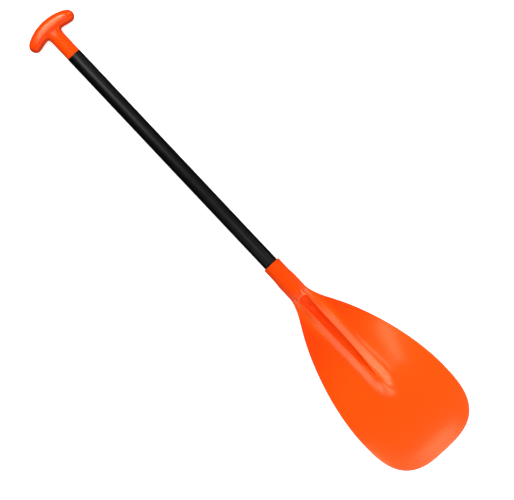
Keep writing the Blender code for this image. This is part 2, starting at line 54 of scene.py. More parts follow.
# Socket
SOCKET_LENGTH = 0.086
SOCKET_RADIUS = 0.0184
SOCKET_FLARE = 0.0014
REST_LAND_CUT = 0.0004
MOUTH_ROUND = 0.0006
SLEEVE_SEAT = 0.025
TUBE_SEAT = 0.073
SLEEVE_BORE = 0.0153
TUBE_BORE = 0.0143
FIN_LENGTH = 0.0602
FIN_RUNOUT = 0.0215
FIN_FILLET = 0.007

# Blade
BLADE_LENGTH = 0.407
HALF_WIDTH = 0.1095
WIDEST_AT = 0.285
SHOULDER_START = 0.0116
SHOULDER_POWER = 1.75
SHOULDER_FULLNESS = 0.8
CORNER_POWER = 3.0
PLATE_THICKNESS = 0.005
EDGE_RADIUS = 0.0016
EDGE_TAPER = 0.04
ARCH_RISE = 0.028
ARCH_START = 0.06
TIP_FALL = 0.04
TIP_FALL_POWER = 2.4
SIDE_FALL = 0.005
SIDE_FALL_POWER = 2.3
SIDE_FALL_GROWTH = 0.8
THROAT_LENGTH = 0.02
THROAT_LEAD = 0.012
SPINE_HEIGHT = 0.0112
SPINE_NOSE_START = 0.213
SPINE_LENGTH = 0.27
SPINE_WIDTH = 0.029
SPINE_CHANGE_LENGTH = 0.1
SPINE_FLATNESS_TOP = 3.4
SPINE_FLATNESS_LOW = 1.9
SPINE_FOOT_TOP = 1.8
SPINE_FOOT_LOW = 6.0
NOSE_LENGTH = 0.095
NOSE_WIDTH = 0.033
NOSE_FLATNESS = 2.6
NOSE_FOOT = 1.6

# Groove, which towards its point keeps only a share of the depth that its walls allow
GROOVE_START = 0.0025
GROOVE_LENGTH = 0.211
GROOVE_WIDTH = 0.0164
GROOVE_HEAD_FLARE = 0.0058
GROOVE_FLARE_LENGTH = 0.045
GROOVE_TAPER_POWER = 4.7
GROOVE_HEAD_DEPTH = 0.0018
GROOVE_RAMP_LENGTH = 0.022
GROOVE_FLOOR_HEIGHT = 0.003
GROOVE_CORNER = 0.0035
GROOVE_DRAFT = math.radians(22.0)
GROOVE_POINT_SHARE = 0.6
GROOVE_HEAD_REACH = 0.003
GROOVE_HEAD_STEEPNESS = 3.0
GROOVE_HEAD_ROUND = 0.0008
GROOVE_EDGE_ROUND = 0.0016
GROOVE_FLOOR_ROUND = 0.0014

# T-grip
GRIP_HEIGHT = 0.0875
GRIP_WIDTH = 0.111
BAR_THICKNESS = 0.032
BAR_DROOP = 0.014
BAR_TAPER = 0.1
BAR_END_LENGTH = 0.0145
BAR_STRAIGHT_END = 0.7
BAR_REST_GAP = 0.0001
STEM_RADIUS = 0.0147
STEM_SWELL = 0.0012
SPIGOT_LENGTH = 0.045
SPIGOT_RADIUS = 0.0122
SPIGOT_ROOT = 0.009
SPIGOT_CHAMFER = 0.001
CORE_RADIUS = 0.0075
CORE_DEPTH = 0.055
CORE_END = 0.5

# Cage of the grip: places of its rings as shares of half the bar, and of the stem with their swell
CAGE_SIDES = 8
BAR_RINGS = (0.22, 0.5, 0.76, 0.925, 0.995)
STEM_RINGS = ((0.12, 1.0), (0.3, 0.5), (0.65, 0.1), (1.0, 0.0))

# Size of a smooth curve within a regular cage, as a share of the cage's size
CAGE_SHARE = (2 + math.cos(2 * math.pi / CAGE_SIDES)) / 3

# Rivets
SPOT_FACE_RADIUS = 0.00525
SPOT_FACE_DEPTH = 0.0025
RIVET_HOLE_RADIUS = 0.0023
DRILL_START = 0.004

# Orange finish: pairs of shades that it wanders between, a deeper one painted as shade towards the neck
# and a lighter one painted as light towards the tip, and the places between which the painted light
# takes over, sooner on one side by a slant
PAINTED_SHADE_ORANGE = ((0.87, 0.043, 0.0004, 1), (0.89, 0.051, 0.0006, 1))
PAINTED_LIGHT_ORANGE = ((0.88, 0.073, 0.0006, 1), (0.9, 0.082, 0.0009, 1))
PAINTED_LIGHT_FROM = 0.2
PAINTED_LIGHT_TO = 0.36
PAINTED_LIGHT_SLANT = 0.3
ORANGE_ROUGHNESS = (0.225, 0.25)
ORANGE_SHINE = 0.5
ORANGE_IOR = 1.49
GLOSS_TINT = (1.0, 1.0, 0.6, 1.0)

# It is duller near the shaft's ends, out to this distance from the given places, and fully so within a
# share of it, where the roughness is greater by a value
DULL_PLACES = (0.1, SHOULDER_X)
DULL_LENGTH = 0.06
DULL_FULL_SHARE = 0.67
DULL_ORANGE = (0.88, 0.056, 0.0005, 1)
DULL_ROUGHNESS = 0.15
DULL_SHINE = 0.1

# Painted light: it is lighter on the spine's flanks beside it, between these places along the paddle and
# across it
FLANK_LIGHT_ENDS = (0.147, 0.17, 0.225, 0.3)
FLANK_LIGHT_SIDES = (0.008, 0.013, 0.021, 0.036)
FLANK_LIGHT_ORANGE = (0.92, 0.077, 0.001, 1)

# Other finishes: pairs of shades, and limits of the roughness
SLEEVE_SHADES = ((0.0006, 0.0006, 0.0006, 1), (0.0012, 0.0012, 0.0012, 1))
SLEEVE_ROUGHNESS = (0.35, 0.43)
FOAM_SHADES = ((0.75, 0.75, 0.72, 1), (0.9, 0.9, 0.87, 1))
FLOOR_SHADES = ((0.84, 0.84, 0.84, 1), (0.86, 0.86, 0.86, 1))
MATT_ROUGHNESS = 0.9

# Metals: shade and limits of the roughness, and their dirt's shade as a share of their own
METALS = {
    "tube_aluminium": ((0.72, 0.73, 0.75), (0.3, 0.42)),
    "rivet_aluminium": ((0.78, 0.79, 0.8), (0.25, 0.38)),
    "mandrel_steel": ((0.5, 0.5, 0.51), (0.3, 0.45)),
}
DIRT_SHADE = 0.75

# Fineness of the surfaces
TURN_STEPS = 96
GRIP_LEVELS = 4
RIM_STEPS = 6
MOUTH_STEPS = 4
WALL_COLUMNS = 3
SPINE_COLUMNS = 12
NOSE_COLUMNS = 9
PLATE_COLUMNS = 9
FAN_STEPS = 54
FAN_CROWDING = 1.5
FAN_CENTRE = 0.345
SEAM_HEIGHT = 0.0001
SHARP_ANGLE = math.radians(40.0)
OVERCUT = 0.002
TOLERANCE = 1e-6

# Steps between the blade's sections: on the plate, at the neck and at the wall of the groove's head
PLATE_STEP = 0.002
NECK_STEP = 0.001
NECK_REACH = 0.03
HEAD_STEP = 0.00025
HEAD_REACH = 0.0035
HEAD_WALL_X = GROOVE_START + 0.0005
LAST_GAP = 0.0005

# Columns of faces along the groove's edge: how far from the middle they run at least and at the end
GUIDE_LEAST = 0.0012
GUIDE_END = 0.006

# Fine columns beside the groove's edge and the foot of its wall: half the width of their band, the
# most of the room beside it that this may take up, and their places in the band
EDGE_BAND = 0.0009
EDGE_SHARE = 0.3
EDGE_PLACES = (-0.5, 0.0, 0.5, 1.0)
FOOT_BAND = 0.0005
FOOT_SHARE = 0.4
FOOT_PLACES = (-1.0, -0.4, 0.3, 1.0)

# How far from the middle the wall's foot is, as a share of the edge's way: beyond the groove's ends
# and at least
FOOT_OUTSIDE = 0.4
FOOT_LEAST = 0.12

# Shares of the socket's radius and the spine's width that the columns over them take up, the most of
# the half width for these, and the most of what is left for the rim's round
SOCKET_SHARE = 0.86
SPINE_SHARE = 1.2
INNER_SHARE = 0.9
RIM_SHARE = 0.7

# Photograph: metres per pixel, its width in pixels, its turn and its middle on the floor plan
PIXEL = 0.0019355
PHOTO_WIDTH = 514
PHOTO_TURN = math.radians(46.698)
PHOTO_MIDDLE = (0.03685, -0.00106)
LENS = 300.0
SENSOR = 36.0

# Studio
FLOOR_SIZE = 40.0
WORLD_LIGHT = 0.35
FLOOR_GLOW = 0.6
FLOOR_DROP = 0.0002

# Softboxes: place, level side, other side, turn in degrees and power in watts
SOFTBOXES = {
    "grip_crown": ((-1.65, 0.05, 0.75), 0.9, 0.3, 0, 4.5),
    "grip_left": ((-1.35, -0.15, 0.75), 0.4, 0.3, 0, 1.8),
    "grip_right": ((-1.35, 0.35, 0.75), 0.4, 0.3, 0, 4.0),
    "grip_bar": ((-1.05, 0.15, 0.75), 0.6, 0.3, 0, 3.4),
    "stem_head": ((-0.75, 0.0, 0.75), 0.3, 0.2, 0, 1.0),
    "grip_side": ((-0.9, 1.0, 0.3), 0.3, 0.3, 0, 1.4),
    "stem": ((-0.57, 0.0, 0.75), 0.3, 0.3, 0, 0.7),
    "shaft_head": ((-0.38, 0.0, 0.75), 0.3, 0.3, 0, 0.42),
    "shaft_side": ((-0.45, 0.75, 0.75), 0.3, 0.3, 0, 0.22),
    "shaft_foot": ((0.02, 0.0, 0.3), 0.12, 0.12, 0, 0.055),
    "neck": ((0.16, 0.0, 0.1), 0.05, 0.01, 0, 0.004),
    "card_left": ((0.165, -0.06, 0.01), 0.1, 0.02, 0, 0.008),
    "card_right": ((0.165, 0.06, 0.01), 0.1, 0.02, 0, 0.01),
    "spine_left": ((0.3, -0.5, 0.3), 0.3, 0.3, 0, 0.51),
    "spine_right": ((0.3, 0.5, 0.3), 0.3, 0.3, 0, 0.69),
    "spine_end": ((0.4, 0.36, 0.3), 0.12, 0.12, 0, 0.14),
    "patch": ((0.35, 0.085, 0.2), 0.11, 0.03, -23, 0.038),
    "nose": ((0.93, 0.0, 0.75), 0.2, 0.15, 0, 0.35),
    "nose_left": ((0.6, -0.24, 0.3), 0.12, 0.12, 0, 0.19),
    "left_high": ((0.45, -1.2, 0.75), 0.3, 0.3, 0, 0.68),
    "left_far": ((0.75, -0.9, 0.75), 0.3, 0.3, 0, 1.05),
    "right_far": ((0.75, 0.9, 0.75), 0.3, 0.3, 0, 1.8),
    "tip": ((1.05, -0.1, 0.75), 0.6, 0.3, 0, 1.2),
    "tip_right": ((1.05, 0.6, 0.75), 0.3, 0.3, 0, 2.7),
}

# Softboxes whose X is less than this light the blade, but leave no reflection on it
NO_GLARE_X = -0.3


def blend(start, end, share):
    """The value that lies at a share of the way from start to end."""
    return start + (end - start) * share


def ease(low, high, value):
    """Rises smoothly from 0 at low to 1 at high."""
    share = min(max((value - low) / (high - low), 0.0), 1.0)
    return share * share * (3 - 2 * share)


def smooth_max(first, second, reach):
    """The larger of two values, with a fillet where they are closer than reach."""
    overlap = max(reach - abs(first - second), 0.0) / reach
    return max(first, second) + overlap * overlap * reach / 4


def smooth_min(first, second, reach):
    """The smaller of two values, with a fillet where they are closer than reach."""
    return -smooth_max(-first, -second, reach)


def fin(x):
    """0 where the socket is a plain tube and 1 where the plate runs along its sides as fins."""
    return ease(-FIN_LENGTH, FIN_RUNOUT - FIN_LENGTH, x)


def throat(x):
    """0 on the round socket and 1 where the flat blade has taken over."""
    return ease(-THROAT_LEAD, THROAT_LENGTH - THROAT_LEAD, x)


@functools.lru_cache(maxsize=None)
def outline(x):
    """Half width of the moulding."""
    neck = SOCKET_RADIUS + SOCKET_FLARE * fin(x)
    if x <= -SHOULDER_START:
        return neck
    if x <= WIDEST_AT:
        ahead = (WIDEST_AT - x) / (WIDEST_AT + SHOULDER_START)
        side = HALF_WIDTH * (1 - ahead**SHOULDER_POWER) ** SHOULDER_FULLNESS
        return smooth_max(neck, side, neck)
    beyond = (x - WIDEST_AT) / (BLADE_LENGTH - WIDEST_AT)
    return HALF_WIDTH * max(1 - beyond**CORNER_POWER, 0.0) ** (1 / CORNER_POWER)


@functools.lru_cache(maxsize=None)
def outline_slope(x):
    """How fast the half width changes along X."""
    step = 0.0002
    return (outline(x + step) - outline(x - step)) / (2 * step)


def middle_height(x, y):
    """Height of the surface midway between the faces: an arch whose tip and sides fall."""
    along = max(x, 0.0) / BLADE_LENGTH
    arch = ARCH_RISE * along**2 / (along + ARCH_START)
    sides = along**SIDE_FALL_GROWTH * (abs(y) / HALF_WIDTH) ** SIDE_FALL_POWER
    return arch - TIP_FALL * along**TIP_FALL_POWER - SIDE_FALL * sides


def plate_height(inward):
    """Half thickness of the plate at a distance from its rim, which is fully rounded."""
    if inward < EDGE_RADIUS:
        return math.sqrt(max(EDGE_RADIUS**2 - (EDGE_RADIUS - inward) ** 2, 0.0))
    return blend(EDGE_RADIUS, PLATE_THICKNESS / 2, ease(0, EDGE_TAPER, inward - EDGE_RADIUS))


def rise(x, y, half_width, crest, flatness, foot):
    """Height of the round socket, which turns into a rib of the given form on the blade."""
    share = min(abs(y) / blend(SOCKET_RADIUS, half_width, throat(x)), 1.0)
    top = blend(SOCKET_RADIUS, crest, throat(x))
    power = blend(2.0, flatness, throat(x))
    return top * (1 - share**power) ** blend(0.5, foot, throat(x))


def face_height(x, inward, rib):
    """Height of a face over the middle: a tube with filleted fins, then a rib on the plate."""
    plate = plate_height(inward)
    tube = rib
    if fin(x) > 0:
        tube = smooth_max(rib, plate * fin(x), FIN_FILLET * fin(x))
    return blend(tube, plate + rib, throat(x))


def spine_form(x):
    """Flatness of the spine's top and softness of its foot, which turn it into a bell."""
    change = ease(0, SPINE_CHANGE_LENGTH, x)
    flatness = blend(SPINE_FLATNESS_TOP, SPINE_FLATNESS_LOW, change)
    return flatness, blend(SPINE_FOOT_TOP, SPINE_FOOT_LOW, change)


@functools.lru_cache(maxsize=None)
def spine_half_width(x):
    """Where the spine's skirt runs out, if the spine is as wide as given at half its height."""
    flatness, foot = spine_form(x)
    free = SPINE_WIDTH / 2 / (1 - 0.5 ** (1 / foot)) ** (1 / flatness)
    return smooth_min(free, outline(x), SPINE_WIDTH / 4)


def spine_face(x, y, inward):
    """Height of the upper face over the axis, without its groove."""
    crest = SPINE_HEIGHT * (1 - ease(SPINE_NOSE_START, SPINE_LENGTH, x))
    spine = rise(x, y, spine_half_width(x), crest, *spine_form(x))
    return middle_height(x, y) + face_height(x, inward, spine)


def lower_height(x, y, inward):
    """Height of the lower face over the axis, cut flat where the paddle rests."""
    fall = ease(-THROAT_LEAD, NOSE_LENGTH, x)
    crest = (SOCKET_RADIUS - PLATE_THICKNESS / 2) * (1 - fall)
    nose = rise(x, y, NOSE_WIDTH / 2, crest, NOSE_FLATNESS, NOSE_FOOT)
    height = middle_height(x, y) - face_height(x, inward, nose)
    return max(height, -AXIS_HEIGHT)


def groove_half_width(x):
    """Half width of the groove's mouth, x being measured from the groove's head."""
    share = min(max(x, 0.0) / GROOVE_LENGTH, 1.0)
    body = GROOVE_WIDTH * (1 - share**GROOVE_TAPER_POWER)
    flare = GROOVE_HEAD_FLARE * max(1 - max(x, 0.0) / GROOVE_FLARE_LENGTH, 0.0) ** 2
    corner = GROOVE_CORNER * (1 - min(max(x / GROOVE_CORNER, 0.0), 1.0)) ** 2
    return (body + flare) / 2 - corner


@functools.lru_cache(maxsize=None)
def groove_edge(x):
    """Height of the face at the groove's edge."""
    return spine_face(GROOVE_START + x, max(groove_half_width(x), 0.0), HALF_WIDTH)


@functools.lru_cache(maxsize=None)
def groove_depth(x):
    """Depth of the groove under its edge: a steep low wall, a ramp, the floor and a shallow end."""
    full = groove_edge(x) - middle_height(GROOVE_START + x, 0.0) - GROOVE_FLOOR_HEIGHT
    ramp = blend(GROOVE_HEAD_DEPTH, full, x / GROOVE_RAMP_LENGTH)
    if x < 0:
        ramp = GROOVE_HEAD_DEPTH + GROOVE_HEAD_STEEPNESS * x
    closing = GROOVE_POINT_SHARE * groove_half_width(x) / math.tan(GROOVE_DRAFT)
    return smooth_min(min(full, closing), ramp, GROOVE_HEAD_ROUND)


def upper_height(x, y, inward):
    """Height of the upper face over the axis."""
    height = spine_face(x, y, inward)
    from_head = x - GROOVE_START
    if not -GROOVE_HEAD_REACH < from_head < GROOVE_LENGTH or abs(y) > GROOVE_WIDTH:
        return height
    edge = groove_edge(from_head)
    wall = edge - (groove_half_width(from_head) - abs(y)) / math.tan(GROOVE_DRAFT)
    floor = edge - groove_depth(from_head)
    return smooth_min(height, smooth_max(wall, floor, GROOVE_FLOOR_ROUND), GROOVE_EDGE_ROUND)


def spread(start, end, count):
    """Evenly spaced values after start, up to end."""
    return [blend(start, end, (i + 1) / count) for i in range(count)]


@functools.lru_cache(maxsize=None)
def groove_guide(x):
    """How far from the middle the columns run that follow the groove's edge."""
    from_head = min(max(x - GROOVE_START, 0.0), GROOVE_LENGTH)
    edge = max(groove_half_width(from_head), GUIDE_LEAST)
    past = ease(GROOVE_LENGTH + GROOVE_START, SPINE_LENGTH, x)
    return blend(edge, GUIDE_END, past)


def widest_inner(x):
    """Furthest place from the middle that isn't yet in the rim's round."""
    return outline(x) - EDGE_RADIUS * math.hypot(1, outline_slope(x))


def spine_columns(x):
    """Distances from the middle on the upper face, out to the foot of the spine."""
    edge = groove_guide(x)
    from_head = x - GROOVE_START
    low = FOOT_OUTSIDE * edge
    if 0 < from_head < GROOVE_LENGTH:
        low = max(edge - groove_depth(from_head) * math.tan(GROOVE_DRAFT), FOOT_LEAST * edge)
    near = min(EDGE_BAND, EDGE_SHARE * edge)
    step = min(FOOT_BAND, FOOT_SHARE * low, EDGE_SHARE * (edge - low))
    places = [0.0, (low - step) / 2] + [low + place * step for place in FOOT_PLACES]
    places += spread(low + step, edge - near, WALL_COLUMNS)
    places += [edge + place * near for place in EDGE_PLACES]
    foot = blend(SOCKET_SHARE * SOCKET_RADIUS, SPINE_SHARE * SPINE_WIDTH, throat(x))
    return places + spread(edge + near, min(foot, INNER_SHARE * widest_inner(x)), SPINE_COLUMNS)


def nose_columns(x):
    """Distances from the middle on the lower face, out to the foot of the nose."""
    foot = blend(SOCKET_SHARE * SOCKET_RADIUS, NOSE_WIDTH / 2, throat(x))
    land = math.sqrt(SOCKET_RADIUS**2 - AXIS_HEIGHT**2)
    return [0.0, land / 2, land] + spread(land, foot, NOSE_COLUMNS)


def with_rim(places, x):
    """Adds the distances from the last place to the rim, which ends in a half round."""
    width = outline(x)
    radius = min(EDGE_RADIUS * math.hypot(1, outline_slope(x)), RIM_SHARE * (width - places[-1]))
    turn = math.pi / 2 / RIM_STEPS
    flat = spread(places[-1], width - radius, PLATE_COLUMNS)
    rim = [width - radius * (1 - math.sin(i * turn)) for i in range(1, RIM_STEPS)]
    return places + flat + rim + [width]


def ray(angle):
    """A line from the middle to the rim of the blade's end, where the rim has turned by angle."""
    length = BLADE_LENGTH - WIDEST_AT
    power = CORNER_POWER / (CORNER_POWER - 1)
    if angle >= math.pi / 2:
        ahead, side = 1.0, 0.0
    else:
        steep = (math.tan(angle) * length / HALF_WIDTH) ** power
        ahead = (steep / (1 + steep)) ** (1 / CORNER_POWER)
        side = (1 / (1 + steep)) ** (1 / CORNER_POWER)
    middle = blend(WIDEST_AT, FAN_CENTRE, ahead)
    return middle, WIDEST_AT + length * ahead, HALF_WIDTH * side


def across_ray(places, angle):
    """Points (x, y, distance from the rim) on a ray, from places on the widest section."""
    middle, end_x, end_y = ray(angle)
    length = math.hypot(end_x - middle, end_y)
    lean = ((end_x - middle) * math.sin(angle) + end_y * math.cos(angle)) / length
    points = []
    for place in places:
        inward = HALF_WIDTH - place
        if inward > EDGE_RADIUS:
            left = length - EDGE_RADIUS / lean
            share = place / (HALF_WIDTH - EDGE_RADIUS) * left / length
        else:
            share = 1 - inward / lean / length
        depth = (1 - share) * length * lean
        points.append((blend(middle, end_x, share), end_y * share, depth))
    return points


def straight(places, x):
    """Points (x, y, distance from the rim) on a section square to the shaft."""
    slant = math.hypot(1, outline_slope(x))
    return [(x, y, (outline(x) - y) / slant) for y in places]


def ring(upper, lower, turn):
    """A closed section round both faces, with the mould's seam on a rim that has turned by turn."""
    rim_x, rim_y, _ = upper[-1]
    rim_z = middle_height(rim_x, rim_y)
    above = [(x, y, upper_height(x, y, depth)) for x, y, depth in upper[:-1]]
    below = [(x, y, lower_height(x, y, depth)) for x, y, depth in lower[:-1]]
    root_x = rim_x - SEAM_HEIGHT * math.sin(turn)
    root_y = rim_y - SEAM_HEIGHT * math.cos(turn) if rim_y else 0.0
    seam = [
        (root_x, root_y, rim_z + SEAM_HEIGHT),
        (rim_x, rim_y, rim_z),
        (root_x, root_y, rim_z - SEAM_HEIGHT),
    ]
    half = above + seam + below[::-1]
    other = [(x, -y, z) for x, y, z in half[::-1]]
    return half + other[1:-1]


def blade_stations():
    """Where the straight sections lie, closer together at the neck and the groove's head."""
    x = MOUTH_ROUND - SOCKET_LENGTH
    while x < WIDEST_AT - LAST_GAP:
        yield x
        if abs(x - HEAD_WALL_X) < HEAD_REACH:
            x += HEAD_STEP
        else:
            x += NECK_STEP if abs(x) < NECK_REACH else PLATE_STEP


def socket_rings(first):
    """The rings that round the socket's mouth and line its bore, from inside to outside."""
    bend = 0.3 * MOUTH_ROUND
    steps = [(TUBE_SEAT, TUBE_BORE), (SLEEVE_SEAT, TUBE_BORE), (SLEEVE_SEAT, SLEEVE_BORE)]
    steps += [(MOUTH_ROUND, SLEEVE_BORE), (bend, SLEEVE_BORE + bend), (0.0, SLEEVE_BORE + MOUTH_ROUND)]
    rings = []
    for depth, radius in steps:
        points = []
        for _, y, z in first:
            on_land = z < TOLERANCE - AXIS_HEIGHT
            turn = math.atan2(-math.sqrt(SOCKET_RADIUS**2 - y * y) if on_land else z, y)
            point = (depth - SOCKET_LENGTH, radius * math.cos(turn), radius * math.sin(turn))
            points.append(point)
        rings.append(points)
    for i in range(MOUTH_STEPS):
        turn = math.pi / 2 * i / MOUTH_STEPS
        share = 1 - MOUTH_ROUND * (1 - math.sin(turn)) / SOCKET_RADIUS
        x = MOUTH_ROUND * (1 - math.cos(turn)) - SOCKET_LENGTH
        rings.append([(x, y * share, z * share) for _, y, z in first])
    return rings


def blade_mesh():
    """The whole blade as one closed surface."""
    body = []
    for x in blade_stations():
        upper = straight(with_rim(spine_columns(x), x), x)
        lower = straight(with_rim(nose_columns(x), x), x)
        body.append(ring(upper, lower, -math.atan(outline_slope(x))))
    upper = with_rim(spine_columns(WIDEST_AT), WIDEST_AT)
    lower = with_rim(nose_columns(WIDEST_AT), WIDEST_AT)
    for i in range(FAN_STEPS + 1):
        angle = math.pi / 2 * (i / FAN_STEPS) ** FAN_CROWDING
        body.append(ring(across_ray(upper, angle), across_ray(lower, angle), angle))
    bm = bmesh.new()
    rows = [[bm.verts.new(point) for point in points] for points in socket_rings(body[0]) + body]
    count = len(rows[0])
    for row, following in zip(rows, rows[1:]):
        for i in range(count):
            j = (i + 1) % count
            bm.faces.new((row[i], row[j], following[j], following[i]))
    bm.faces.new(rows[0])
    bmesh.ops.remove_doubles(bm, verts=bm.verts, dist=0.1 * TOLERANCE)
    bmesh.ops.recalc_face_normals(bm, faces=bm.faces)
    return bm


def add_piece(name, bm, x, material):
    """Turns a bmesh into a smooth piece whose mesh is already in the frame's own place."""
    bmesh.ops.translate(bm, verts=bm.verts, vec=(x, 0.0, AXIS_HEIGHT))
    mesh = bpy.data.meshes.new(name)
    bm.to_mesh(mesh)
    bm.free()
    mesh.materials.append(material)
    mesh.shade_smooth()
    mesh.set_sharp_from_angle(angle=SHARP_ANGLE)
    piece = bpy.data.objects.new(name, mesh)
    bpy.context.scene.collection.objects.link(piece)
    return piece


def turned(profile):
    """A closed body: a profile of (x, radius) points from axis to axis, turned about X."""
    bm = bmesh.new()
    points = [bm.verts.new((x, 0.0, radius)) for x, radius in profile]
    edges = [bm.edges.new(pair) for pair in zip(points, points[1:])]
    turn = {"cent": (0, 0, 0), "axis": (1, 0, 0), "angle": 2 * math.pi, "steps": TURN_STEPS}
    bmesh.ops.spin(bm, geom=points + edges, **turn)
    bmesh.ops.remove_doubles(bm, verts=bm.verts, dist=TOLERANCE)
    bmesh.ops.recalc_face_normals(bm, faces=bm.faces)
    return bm


def cut(piece, bm, matrix, operation="DIFFERENCE"):
    """Adds or takes away a body, which is given as a bmesh and a place, from a piece."""
    mesh = bpy.data.meshes.new("tool")
    bm.to_mesh(mesh)
    bm.free()
    tool = bpy.data.objects.new("tool", mesh)
    tool.matrix_world = matrix
    bpy.context.scene.collection.objects.link(tool)
    modifier = piece.modifiers.new("tool", "BOOLEAN")
    modifier.operation = operation
    modifier.solver = "EXACT"
    modifier.object = tool
    settle(piece)
    bpy.data.objects.remove(tool)
    bpy.data.meshes.remove(mesh)


def settle(piece):
    """Replaces a piece's mesh by what its modifiers make of it."""
    graph = bpy.context.evaluated_depsgraph_get()
    mesh = bpy.data.meshes.new_from_object(piece.evaluated_get(graph))
    old = piece.data
    piece.modifiers.clear()
    piece.data = mesh
    bpy.data.meshes.remove(old)


def bar_centre(y):
    """How far the middle of the grip's bar lies from the crown."""
    straight_half = GRIP_WIDTH / 2 - BAR_STRAIGHT_END * BAR_END_LENGTH
    share = min(abs(y), straight_half) / (GRIP_WIDTH / 2)
    return BAR_THICKNESS / 2 + BAR_DROOP * share**2


def bar_share(y):
    """Thickness of the bar at y as a share of that in its middle, round at the ends."""
    half = GRIP_WIDTH / 2
    share = 1 - BAR_TAPER * (y / half) ** 2
    past = max(abs(y) - (half - BAR_END_LENGTH), 0.0) / BAR_END_LENGTH
    return share * math.sqrt(max(1 - past * past, 0.0))


def bar_ring(y, lift=0.0):
    """A ring of the grip's cage round the bar; its first point faces the stem."""
    points = []
    for i in range(CAGE_SIDES):
        turn = 2 * math.pi * i / CAGE_SIDES
        reach = bar_share(y) / CAGE_SHARE
        centre = bar_centre(y) - lift - GRIP_HEIGHT
        x = centre + BAR_THICKNESS / 2 * reach * math.cos(turn)
        points.append((x, y, (AXIS_HEIGHT - BAR_REST_GAP) * reach * math.sin(turn)))
    return points


def stem_ring(x, half_width, half_depth):
    """A ring of the grip's cage round the stem."""
    points = []
    for i in range(CAGE_SIDES):
        turn = 2 * math.pi * i / CAGE_SIDES
        y = half_width * math.cos(turn) / CAGE_SHARE
        points.append((x, y, half_depth * math.sin(turn) / CAGE_SHARE))
    return points


def grip_cage():
    """The coarse cage of bar and stem, which a subdivision surface rounds."""
    bm = bmesh.new()
    crease = bm.edges.layers.float.new("crease_edge")
    half = GRIP_WIDTH / 2
    side = STEM_RADIUS / CAGE_SHARE
    outer = [blend(side, half, share) for share in BAR_RINGS]
    places = [-y for y in reversed(outer)] + [-side, 0.0, side] + outer
    lift = (bar_centre(side) - bar_centre(0.0)) / 2
    rings = [bar_ring(y, lift if y == 0.0 else 0.0) for y in places]
    rows = [[bm.verts.new(point) for point in points] for points in rings]
    middle = len(places) // 2
    opening = {(middle - 1, 0), (middle, 0), (middle - 1, CAGE_SIDES - 1), (middle, CAGE_SIDES - 1)}
    for i, (row, following) in enumerate(zip(rows, rows[1:])):
        for j in range(CAGE_SIDES):
            k = (j + 1) % CAGE_SIDES
            if (i, j) not in opening:
                bm.faces.new((row[j], row[k], following[k], following[j]))
    bm.faces.new(rows[0])
    bm.faces.new(rows[-1])
    near, centre, far = rows[middle + 1], rows[middle], rows[middle - 1]
    bm.verts.remove(centre[0])
    last = [near[0], near[1], centre[1], far[1], far[0], far[-1], centre[-1], near[-1]]
    underside = BAR_THICKNESS - GRIP_HEIGHT
    for share, swell in STEM_RINGS:
        depth = STEM_RADIUS + STEM_SWELL * swell
        points = stem_ring(blend(underside, 0.0, share), STEM_RADIUS, depth)
        following = [bm.verts.new(point) for point in points]
        for j in range(CAGE_SIDES):
            k = (j + 1) % CAGE_SIDES
            bm.faces.new((last[j], last[k], following[k], following[j]))
        last = following
    shoulder = bm.faces.new(last)
    for edge in shoulder.edges:
        edge[crease] = 1.0
    bmesh.ops.recalc_face_normals(bm, faces=bm.faces)
    return bm


def rivet_hole(x, depth, radius):
    """A rod that comes up from below at x, as deep as given, and its place."""
    profile = [(-DRILL_START, 0.0), (-DRILL_START, radius), (depth, radius), (depth, 0.0)]
    lift = Matrix.Translation((x, 0.0, 0.0)) @ Matrix.Rotation(-math.pi / 2, 4, "Y")
    return turned(profile), lift


def make_blade(material):
    """The blade's fine surface with its rivet's spot face and hole."""
    piece = add_piece("blade_surface", blade_mesh(), NECK_X, material)
    cut(piece, *rivet_hole(BLADE_RIVET_X, SPOT_FACE_DEPTH - REST_LAND_CUT, SPOT_FACE_RADIUS))
    cut(piece, *rivet_hole(BLADE_RIVET_X, AXIS_HEIGHT, RIVET_HOLE_RADIUS))
    piece.data.set_sharp_from_angle(angle=SHARP_ANGLE)
    return piece


def make_grip(material):
    """The T-grip's fine surface with its cored spigot and its rivet's hole."""
    piece = add_piece("grip_surface", grip_cage(), SHOULDER_X, material)
    rounding = piece.modifiers.new("rounding", "SUBSURF")
    rounding.levels = GRIP_LEVELS
    rounding.render_levels = GRIP_LEVELS
    settle(piece)
    place = Matrix.Translation((SHOULDER_X, 0.0, AXIS_HEIGHT))
    spigot = [
        (-SPIGOT_ROOT, 0.0),
        (-SPIGOT_ROOT, SPIGOT_RADIUS),
        (SPIGOT_LENGTH - SPIGOT_CHAMFER, SPIGOT_RADIUS),
        (SPIGOT_LENGTH, SPIGOT_RADIUS - SPIGOT_CHAMFER),
        (SPIGOT_LENGTH, 0.0),
    ]
    cut(piece, turned(spigot), place, "UNION")
    core = [
        (-CORE_DEPTH, 0.0),
        (-CORE_DEPTH, CORE_END * CORE_RADIUS),
        (CORE_END * CORE_RADIUS - CORE_DEPTH, CORE_RADIUS),
        (SPIGOT_LENGTH + OVERCUT, CORE_RADIUS),
        (SPIGOT_LENGTH + OVERCUT, 0.0),
    ]
    cut(piece, turned(core), place)
    cut(piece, *rivet_hole(GRIP_RIVET_X, AXIS_HEIGHT, RIVET_HOLE_RADIUS))
    piece.data.shade_smooth()
    piece.data.set_sharp_from_angle(angle=SHARP_ANGLE)
    return piece


def feed(tree, socket, value):
    """Links an output to a socket, or sets the socket to a value."""
    if isinstance(value, bpy.types.NodeSocket):
        tree.links.new(value, socket)
    else:
        socket.default_value = value


